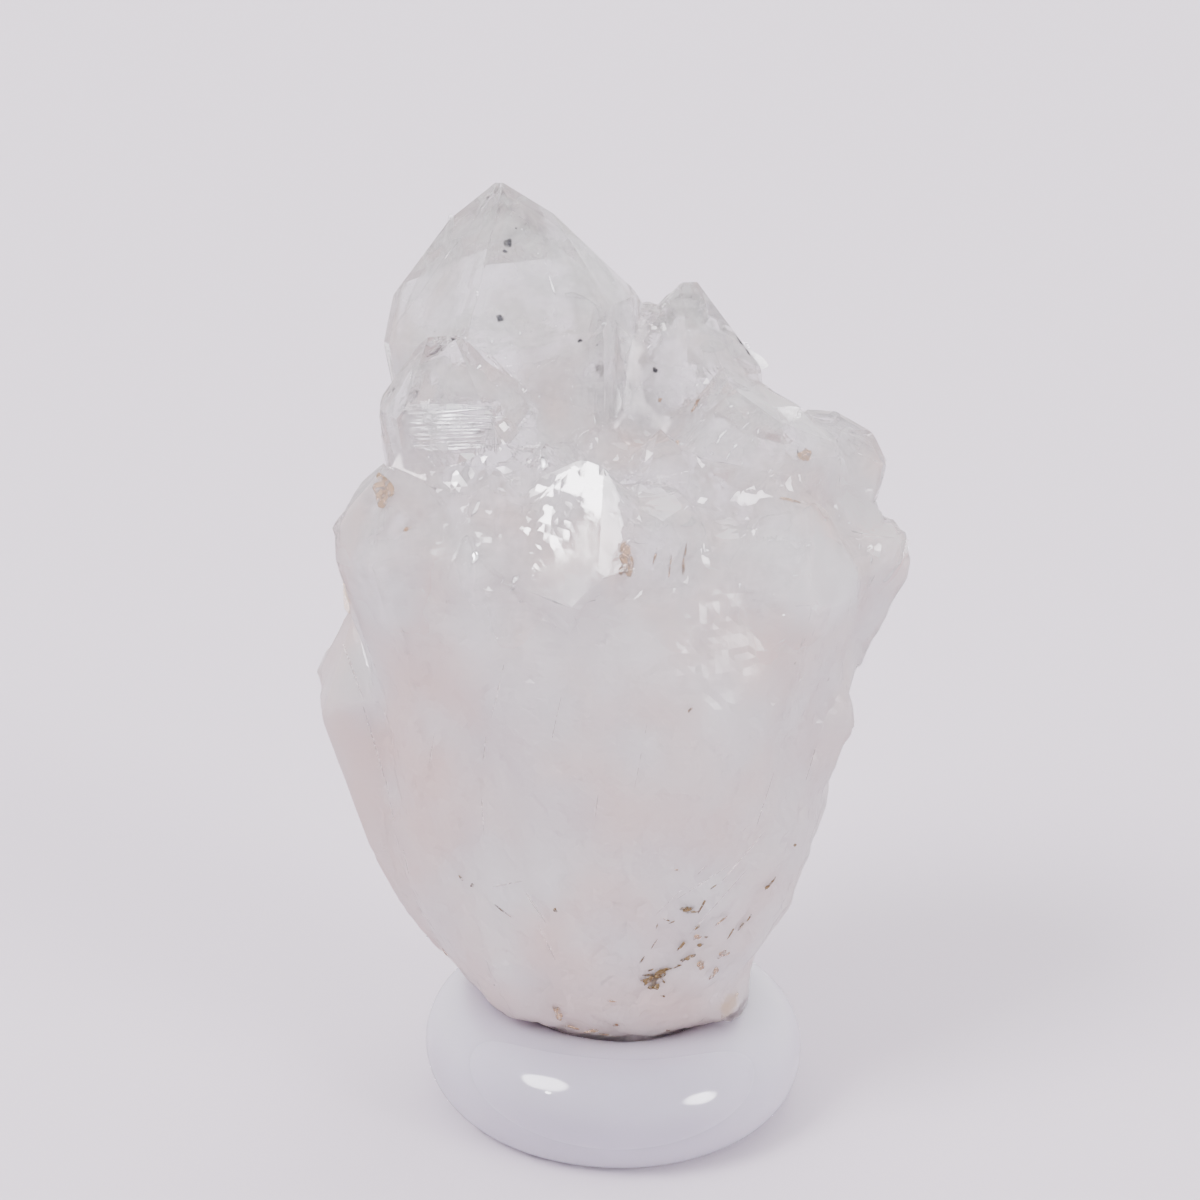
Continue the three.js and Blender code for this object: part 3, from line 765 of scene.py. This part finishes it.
# Fractures that flash: where, length and width in mm, lean in the picture in degrees, depth below the skin in mm.
FLASHES = [
    (552, 283, 1.9, 0.22, -72, 0.5), (546, 262, 0.8, 0.14, -66, 0.5), (538, 252, 0.35, 0.2, -40, 0.4),
    (522, 228, 0.22, 0.16, 0, 0.3), (475, 508, 1.35, 0.26, 70, 0.1), (473, 557, 1.0, 0.62, 70, 0.1),
    (613, 515, 0.5, 0.3, -60, 0.1), (622, 522, 1.5, 0.42, -60, 0.1), (515, 578, 0.7, 0.3, 70, 0.2),
    (632, 487, 0.3, 0.24, 0, 0.1), (708, 550, 0.26, 0.24, 0, 0.1), (740, 584, 0.4, 0.34, 0, 0.1),
    (503, 489, 0.5, 0.3, -40, 0.2), (545, 463, 0.8, 0.5, -60, 0.1), (700, 420, 0.5, 0.2, 60, 0.3),
    (722, 433, 0.9, 0.26, 48, 0.3), (735, 445, 0.6, 0.2, 50, 0.3), (748, 412, 0.35, 0.2, 40, 0.3),
    (731, 405, 0.5, 0.24, 0, 0.3), (758, 430, 0.4, 0.16, 60, 0.3), (712, 452, 0.5, 0.22, 40, 0.3),
    (742, 462, 0.3, 0.2, 0, 0.3), (765, 398, 0.3, 0.14, 40, 0.2), (845, 462, 1.5, 0.1, -72, 0.3),
    (852, 470, 0.9, 0.08, -60, 0.3), (840, 515, 0.3, 0.22, 0, 0.2), (850, 522, 0.26, 0.2, 0, 0.2),
    (810, 545, 0.4, 0.2, 30, 0.2), (860, 545, 0.7, 0.16, 70, 0.2), (872, 560, 0.6, 0.1, 64, 0.2),
    (800, 680, 0.36, 0.26, 40, 0.1), (812, 692, 0.24, 0.2, 0, 0.1), (790, 673, 0.22, 0.16, 0, 0.1),
    (825, 705, 0.2, 0.16, 0, 0.1), (503, 675, 0.22, 0.12, 60, 0.1), (470, 352, 0.3, 0.16, 20, 0.2),
    (492, 340, 0.3, 0.14, -30, 0.2), (512, 345, 0.26, 0.2, 0, 0.2), (520, 332, 0.24, 0.24, 0, 0.3),
    (528, 347, 0.2, 0.14, 0, 0.3), (480, 366, 0.5, 0.2, 50, 0.2), (500, 365, 0.36, 0.2, 20, 0.2),
    (460, 358, 0.3, 0.12, 0, 0.2), (604, 322, 0.4, 0.2, 30, 0.3), (620, 330, 0.3, 0.16, 0, 0.3),
    (566, 536, 0.3, 0.16, 0, 0.1), (572, 545, 0.16, 0.1, 0, 0.1),
    (545, 318, 0.26, 0.16, 30, 0.3), (556, 325, 0.3, 0.1, 60, 0.3), (575, 330, 0.26, 0.12, 0, 0.3),
    (588, 318, 0.22, 0.1, 40, 0.3), (452, 345, 0.4, 0.14, 10, 0.2), (488, 355, 0.5, 0.2, 60, 0.2),
    (506, 358, 0.3, 0.2, 30, 0.2), (515, 372, 0.4, 0.12, 80, 0.2), (530, 380, 0.6, 0.1, 75, 0.2),
    (540, 395, 0.7, 0.08, 80, 0.2), (552, 402, 0.5, 0.08, 70, 0.2), (498, 385, 0.3, 0.14, 0, 0.2),
    (700, 405, 0.5, 0.1, 60, 0.2), (715, 412, 0.4, 0.14, 30, 0.2), (745, 425, 0.7, 0.12, 55, 0.2),
    (752, 440, 0.5, 0.12, 50, 0.2), (728, 455, 0.6, 0.1, 55, 0.2), (718, 440, 0.6, 0.12, 50, 0.2),
    (705, 435, 0.4, 0.1, 60, 0.2), (770, 470, 0.4, 0.08, 20, 0.2), (690, 330, 0.5, 0.1, 0, 0.2),
    (712, 345, 0.4, 0.1, -30, 0.2), (660, 345, 0.3, 0.1, 0, 0.2), (832, 440, 0.8, 0.07, -65, 0.2),
    (838, 455, 1.0, 0.06, -70, 0.2), (826, 520, 0.24, 0.18, 0, 0.1), (846, 508, 0.2, 0.16, 0, 0.1),
    (845, 535, 0.5, 0.1, 70, 0.1), (770, 540, 0.5, 0.12, 10, 0.1), (795, 575, 0.7, 0.1, 0, 0.1),
    (815, 590, 0.6, 0.09, 20, 0.1), (745, 590, 0.3, 0.14, 60, 0.1), (735, 575, 0.24, 0.1, 0, 0.1),
    (640, 492, 0.4, 0.16, 20, 0.1), (650, 510, 0.5, 0.08, 80, 0.1), (668, 508, 0.5, 0.07, 70, 0.1),
    (806, 676, 0.3, 0.2, 0, 0.1), (818, 683, 0.34, 0.12, 30, 0.1), (797, 700, 0.2, 0.16, 0, 0.1),
    (780, 690, 0.3, 0.08, 50, 0.1), (545, 690, 0.16, 0.1, 0, 0.1), (705, 745, 0.2, 0.1, 60, 0.1),
    (668, 800, 0.16, 0.1, 0, 0.1), (590, 640, 0.2, 0.1, 30, 0.1), (512, 590, 0.5, 0.2, 60, 0.1),
    (522, 600, 0.3, 0.14, 40, 0.1), (468, 540, 0.4, 0.12, 80, 0.1), (480, 478, 0.5, 0.1, 40, 0.1),
]
# Fine cracks in the skin, given as the stains are.
HAIRLINES = [
    (498, 690, 2.4, 0.07, 76), (485, 745, 3.4, 0.08, 82), (482, 802, 2.6, 0.06, -87), (507, 884, 1.6, 0.08, 22),
    (534, 905, 2.0, 0.09, -58), (549, 947, 2.6, 0.07, -70), (352, 668, 3.6, 0.10, -66), (374, 742, 4.0, 0.10, -75),
    (391, 806, 2.9, 0.08, -77), (404, 852, 2.2, 0.07, -62), (700, 872, 5.4, 0.05, 34), (742, 858, 3.6, 0.05, 38),
    (688, 892, 4.2, 0.04, 38), (720, 900, 3.8, 0.04, 44), (596, 812, 2.2, 0.04, 84), (640, 760, 3.0, 0.04, 80),
    (556, 720, 2.6, 0.04, 78), (430, 760, 3.2, 0.05, 80), (765, 800, 3.0, 0.05, 64), (812, 760, 2.6, 0.05, 70),
]
# Veils: where, length and width in mm, lean in the picture, how far behind the skin along the line of sight.
VEILS = [
    (452, 262, 4.6, 3.4, 62, 2.6), (548, 270, 5.6, 3.6, -55, 3.4), (505, 335, 7.0, 2.6, 4, 2.4),
    (600, 340, 4.0, 3.0, -50, 2.6), (560, 400, 6.0, 4.0, 20, 2.6), (690, 332, 3.4, 3.0, 10, 2.0),
    (738, 352, 2.6, 1.8, -48, 1.4), (440, 392, 3.6, 2.6, 0, 1.8), (445, 470, 3.6, 3.0, 20, 1.8),
    (745, 432, 5.0, 3.6, 30, 2.4), (790, 470, 3.6, 3.0, -20, 2.2), (852, 455, 2.6, 2.2, -60, 1.5),
    (885, 560, 2.4, 1.5, 62, 1.1), (560, 525, 3.6, 2.8, 20, 1.7), (372, 520, 2.8, 2.2, 40, 1.5),
    (785, 560, 4.6, 3.0, 10, 1.8), (662, 520, 2.4, 2.0, 0, 1.3), (570, 400, 6.5, 4.4, 70, 1.6),
]

# The lit prism face at the left: its plates, and where they lie in the picture.
STEP_ROWS = 13
STEP_X = 446
STEP_TOP, STEP_BOTTOM = 406, 450
STEP_DEPTH = 0.45
# How deep a flash lies below the skin: a share of its depth in the list, and more where it is wide.
FLASH_DEPTH = 0.35
FLASH_LEAST = 0.06
FLASH_WIDTH_SHARE = 0.15
PLATE_THICKNESS = 0.02
VEIL_THICKNESS = 0.06


def picture_ray(px, py):
    """The way from the camera through a place in the 1200-wide picture."""
    right, up, ahead = (np.array(way) for way in (PICTURE_RIGHT, PICTURE_UP, VIEW_AHEAD))
    way = ahead + right * (px - PICTURE_SIZE / 2) / FOCAL_PIXELS - up * (py - PICTURE_SIZE / 2) / FOCAL_PIXELS
    return way / np.linalg.norm(way)


def on_stone(skin, px, py):
    """Where the line of sight through a place in the picture meets the stone, and the skin's normal there."""
    way = picture_ray(px, py)
    place, normal, _, _ = skin.ray_cast(Vector(CAMERA_AT) * MM, Vector(way))
    if place is None:
        return None, None
    return np.array(place) / MM, np.array(normal)


def lens(length, width, thickness, ragged, rng, columns=18, rows=9):
    """A flat closed lens in its own plane: a circle drawn out to length and width, its edge pushed in and
    out by five seeded waves, and its thickness falling from the middle to the edge as a cosine does."""
    turn = np.linspace(0, 2 * math.pi, columns, endpoint=False)[None, :]
    tilt = np.linspace(0, math.pi, rows)[:, None]
    edge = 1.0
    for k in range(2, 7):
        edge = edge + ragged / k * np.sin(k * turn + rng.uniform(0, 2 * math.pi))
    reach = np.sin(tilt) * edge
    x = reach * np.cos(turn) * length / 2
    y = reach * np.sin(turn) * width / 2
    z = np.cos(tilt) * thickness / 2 * np.ones_like(turn)
    return np.stack([x, y, z], -1).reshape(-1, 3), closed_grid(rows, columns, False)[:, ::-1]


def join(pieces):
    """Points and faces of several meshes, put together as one."""
    points, faces, count = [], [], 0
    for some, quads in pieces:
        points.append(some)
        faces.append(quads + count)
        count += len(some)
    return np.concatenate(points), np.concatenate(faces)


def make_marks(name, skin, places, material, sink, thickness, ragged, seed):
    """Lenses that lie in the skin, or sink below it: each turned to the skin's normal where it lies."""
    rng = np.random.default_rng(seed)
    pieces = []
    for px, py, length, width, lean in places:
        at, normal = on_stone(skin, px, py)
        if at is None:
            continue
        points, faces = lens(length, width, thickness, ragged, rng)
        pieces.append((laid(points, normal, lean, at - sink * normal), faces))
    piece = mesh_object(name, *join(pieces), material)
    clean(piece.data)
    return piece


def clean(mesh):
    """Merges doubled points, such as those at a lens's two poles, and turns every face outwards."""
    skin = bmesh.new()
    skin.from_mesh(mesh)
    bmesh.ops.remove_doubles(skin, verts=skin.verts, dist=1e-8)
    bmesh.ops.recalc_face_normals(skin, faces=skin.faces)
    skin.to_mesh(mesh)
    skin.free()


def bent(way, normal):
    """A way out of the stone, before the skin bends it: its part along the skin shrinks by the index of quartz."""
    flat = (way - normal * (way @ normal)) / QUARTZ_IOR
    return flat + normal * math.sqrt(1 - flat @ flat)


def throwing(px, py, normal, window):
    """The normal of a plate under the skin that throws that window's light back to the viewer."""
    half = bent(-picture_ray(px, py), normal) + bent(window, normal)
    return half / np.linalg.norm(half)


def window_for(normal, number):
    """The window that a plate under such a skin sees best: by turns where both do."""
    ways = [np.array(WINDOWS[k][0]) / np.linalg.norm(WINDOWS[k][0]) for k in ("left", "right")]
    sides = [way @ normal for way in ways]
    if abs(sides[0] - sides[1]) < 0.3:
        return ways[number % 2]
    return ways[int(sides[1] > sides[0])]


def laid(points, facing, lean, at):
    """Points of a flat thing turned to face a way, leant in the picture by some degrees and moved to a place."""
    right = np.array(PICTURE_RIGHT)
    across = right - facing * (right @ facing)
    across /= np.linalg.norm(across)
    rise = np.cross(facing, across)
    c, d = math.cos(math.radians(lean)), math.sin(math.radians(lean))
    return points @ np.stack([across * c + rise * d, rise * c - across * d, facing]) + at


def make_flashes(skin, material):
    """Small plates under the skin, turned so that they throw the left or the right window at the viewer."""
    rng = np.random.default_rng(SEED)
    pieces = []
    for number, (px, py, length, width, lean, depth) in enumerate(FLASHES):
        at, normal = on_stone(skin, px, py)
        if at is None:
            continue
        facing = throwing(px, py, normal, window_for(normal, number)) + rng.normal(0, 0.025, 3)
        facing /= np.linalg.norm(facing)
        size = rng.uniform(0.45, 0.85)
        points, faces = lens(length * size, width * size, PLATE_THICKNESS, 0.45, rng, columns=14, rows=5)
        lean += rng.uniform(-18, 18)
        sink = FLASH_DEPTH * depth + FLASH_LEAST + FLASH_WIDTH_SHARE * width
        pieces.append((laid(points, facing, lean, at - sink * normal), faces))
    piece = mesh_object("bright_fractures", *join(pieces), material)
    clean(piece.data)
    piece.visible_shadow = False
    return piece


def make_steps(skin, material):
    """The lit prism face at the left: long narrow plates just under it, one above the other, all turned so
    that they throw the left window at the viewer."""
    rng = np.random.default_rng(SEED + 1)
    pieces = []
    window = np.array(WINDOWS["left"][0]) / np.linalg.norm(WINDOWS["left"][0])
    for py in np.linspace(STEP_TOP, STEP_BOTTOM, STEP_ROWS):
        px = STEP_X + rng.uniform(-5, 5)
        at, normal = on_stone(skin, px, py + rng.uniform(-0.8, 0.8))
        facing = throwing(px, py, normal, window) + rng.normal(0, 0.012, 3)
        facing /= np.linalg.norm(facing)
        length, width = 4.6 + rng.uniform(-0.8, 0.3), rng.uniform(0.10, 0.24)
        points, faces = lens(length, width, PLATE_THICKNESS, 0.25, rng, columns=40, rows=5)
        pieces.append((laid(points, facing, rng.uniform(-1.5, 1.5), at - STEP_DEPTH * normal), faces))
    piece = mesh_object("growth_steps", *join(pieces), material)
    clean(piece.data)
    piece.visible_shadow = False
    return piece


def make_veils(skin, material):
    """Thin wavy clouds inside the crystals, roughly across the line of sight but each leaning its own way."""
    rng = np.random.default_rng(SEED + 2)
    pieces = []
    for px, py, length, width, lean, depth in VEILS:
        at, normal = on_stone(skin, px, py)
        facing = normal + rng.normal(0, 0.35, 3)
        facing /= np.linalg.norm(facing)
        points, faces = lens(length, width, VEIL_THICKNESS, 0.4, rng, columns=32, rows=13)
        points[:, 2] += 0.12 * np.sin(points[:, 0] * 1.9 + rng.uniform(0, 6)) * np.cos(points[:, 1] * 2.3)
        pieces.append((laid(points, facing, lean, at + depth * picture_ray(px, py)), faces))
    piece = mesh_object("inner_veils", *join(pieces), material)
    clean(piece.data)
    piece.visible_shadow = False
    return piece


def make_camera():
    """The photograph's own view."""
    data = bpy.data.cameras.new("camera")
    data.sensor_fit = "HORIZONTAL"
    data.sensor_width = SENSOR_WIDTH
    data.lens = FOCAL_PIXELS * SENSOR_WIDTH / PICTURE_SIZE
    data.clip_start = NEAREST_SEEN
    camera = bpy.data.objects.new("camera", data)
    turn = Matrix((PICTURE_RIGHT, PICTURE_UP, [-v for v in VIEW_AHEAD])).transposed().to_4x4()
    camera.matrix_world = Matrix.Translation(Vector(CAMERA_AT) * MM) @ turn
    bpy.context.scene.collection.objects.link(camera)
    bpy.context.scene.camera = camera


def make_room():
    """Even light from all sides, with round soft windows: each adds its gain where the cosine between
    a ray and the way to its middle is above its own limit."""
    world = bpy.data.worlds.new("pale_room")
    world.use_nodes = True
    tree = world.node_tree
    place = tree.nodes.new("ShaderNodeTexCoord")
    total = ROOM_STRENGTH
    lamps = [(*window, WINDOW_EDGE) for window in WINDOWS.values()]
    lamps.append((LAMP_WAY, LAMP_LIMIT, LAMP_GAIN, LAMP_EDGE))
    for way, limit, gain, edge in lamps:
        cosine = tree.nodes.new("ShaderNodeVectorMath")
        cosine.operation = "DOT_PRODUCT"
        cosine.inputs[1].default_value = Vector(way).normalized()
        tree.links.new(place.outputs["Generated"], cosine.inputs[0])
        limits = [("From Min", limit), ("From Max", limit + edge), ("To Max", gain)]
        glow = node_in(tree, "ShaderNodeMapRange", limits, [("Value", cosine.outputs["Value"])])
        total = math_in(tree, "ADD", glow.outputs["Result"], total)
    back = tree.nodes["Background"]
    back.inputs["Color"].default_value = ROOM_LIGHT
    tree.links.new(total, back.inputs["Strength"])
    world.cycles.sampling_method = "NONE"
    bpy.context.scene.world = world


def make_floor():
    """A wide flat floor, pale and matt, out to where the room's light takes over."""
    corners = [(-1, -1, 0), (1, -1, 0), (1, 1, 0), (-1, 1, 0)]
    mesh = bpy.data.meshes.new("floor")
    mesh.from_pydata((np.array(corners) * FLOOR_REACH * MM).tolist(), [], [[0, 1, 2, 3]])
    mesh.materials.append(plain_material("pale_paper", FLOOR_TONE, 0.9))
    floor = bpy.data.objects.new("floor", mesh)
    bpy.context.scene.collection.objects.link(floor)


make_camera()
make_room()
make_floor()
make_ring()
stone = make_stone(stone_material())
milk = milk_material("milky_quartz", (0.91, 0.84, 0.85, 1), (0.995, 0.975, 0.99, 1), (0.94, 0.78, 0.74, 1))
haze = milk_material("hazy_quartz", (0.95, 0.93, 0.965, 1), (0.995, 0.985, 0.995, 1), (0.95, 0.85, 0.83, 1))
make_milk("milky_heart", stone, inset=0.3, rounds=5, material=milk, density=body_density)
make_milk("milky_haze", stone, inset=1.1, rounds=8, material=haze, density=haze_density)

skin = BVHTree.FromPolygons((mesh_points(stone.data) * MM).tolist(), mesh_corners(stone.data).tolist())
# Stains: their dark tone, their light tone and how thick they are at most.
iron = stain_material("iron_stain", (0.05, 0.030, 0.012, 1), (0.22, 0.14, 0.055, 1), 1.0)
rust = stain_material("rust_stain", (0.22, 0.12, 0.06, 1), (0.46, 0.31, 0.20, 1), 0.7)
specks = stain_material("black_speck", (0.02, 0.02, 0.025, 1), (0.05, 0.05, 0.06, 1), 1.0)
amber = stain_material("amber_tinge", (0.80, 0.52, 0.22, 1), (0.95, 0.78, 0.50, 1), 0.32)
make_marks("amber_tinges", skin, AMBER_SPOTS, amber, sink=0.10, thickness=0.10, ragged=0.25, seed=6)
make_marks("iron_stains", skin, IRON_SPOTS, iron, sink=0.0, thickness=0.10, ragged=0.45, seed=3)
make_marks("rust_stains", skin, RUST_SPOTS, rust, sink=0.0, thickness=0.10, ragged=0.40, seed=4)
make_marks("black_specks", skin, BLACK_SPECKS, specks, sink=0.03, thickness=0.08, ragged=0.30, seed=5)
hairline = stain_material("hairline_crack", (0.50, 0.43, 0.42, 1), (0.66, 0.59, 0.58, 1), 0.6)
make_marks("hairline_cracks", skin, HAIRLINES, hairline, sink=0.0, thickness=0.04, ragged=0.30, seed=8)
flake = flake_material()
make_flashes(skin, flake)
make_steps(skin, flake)
make_veils(skin, veil_material())
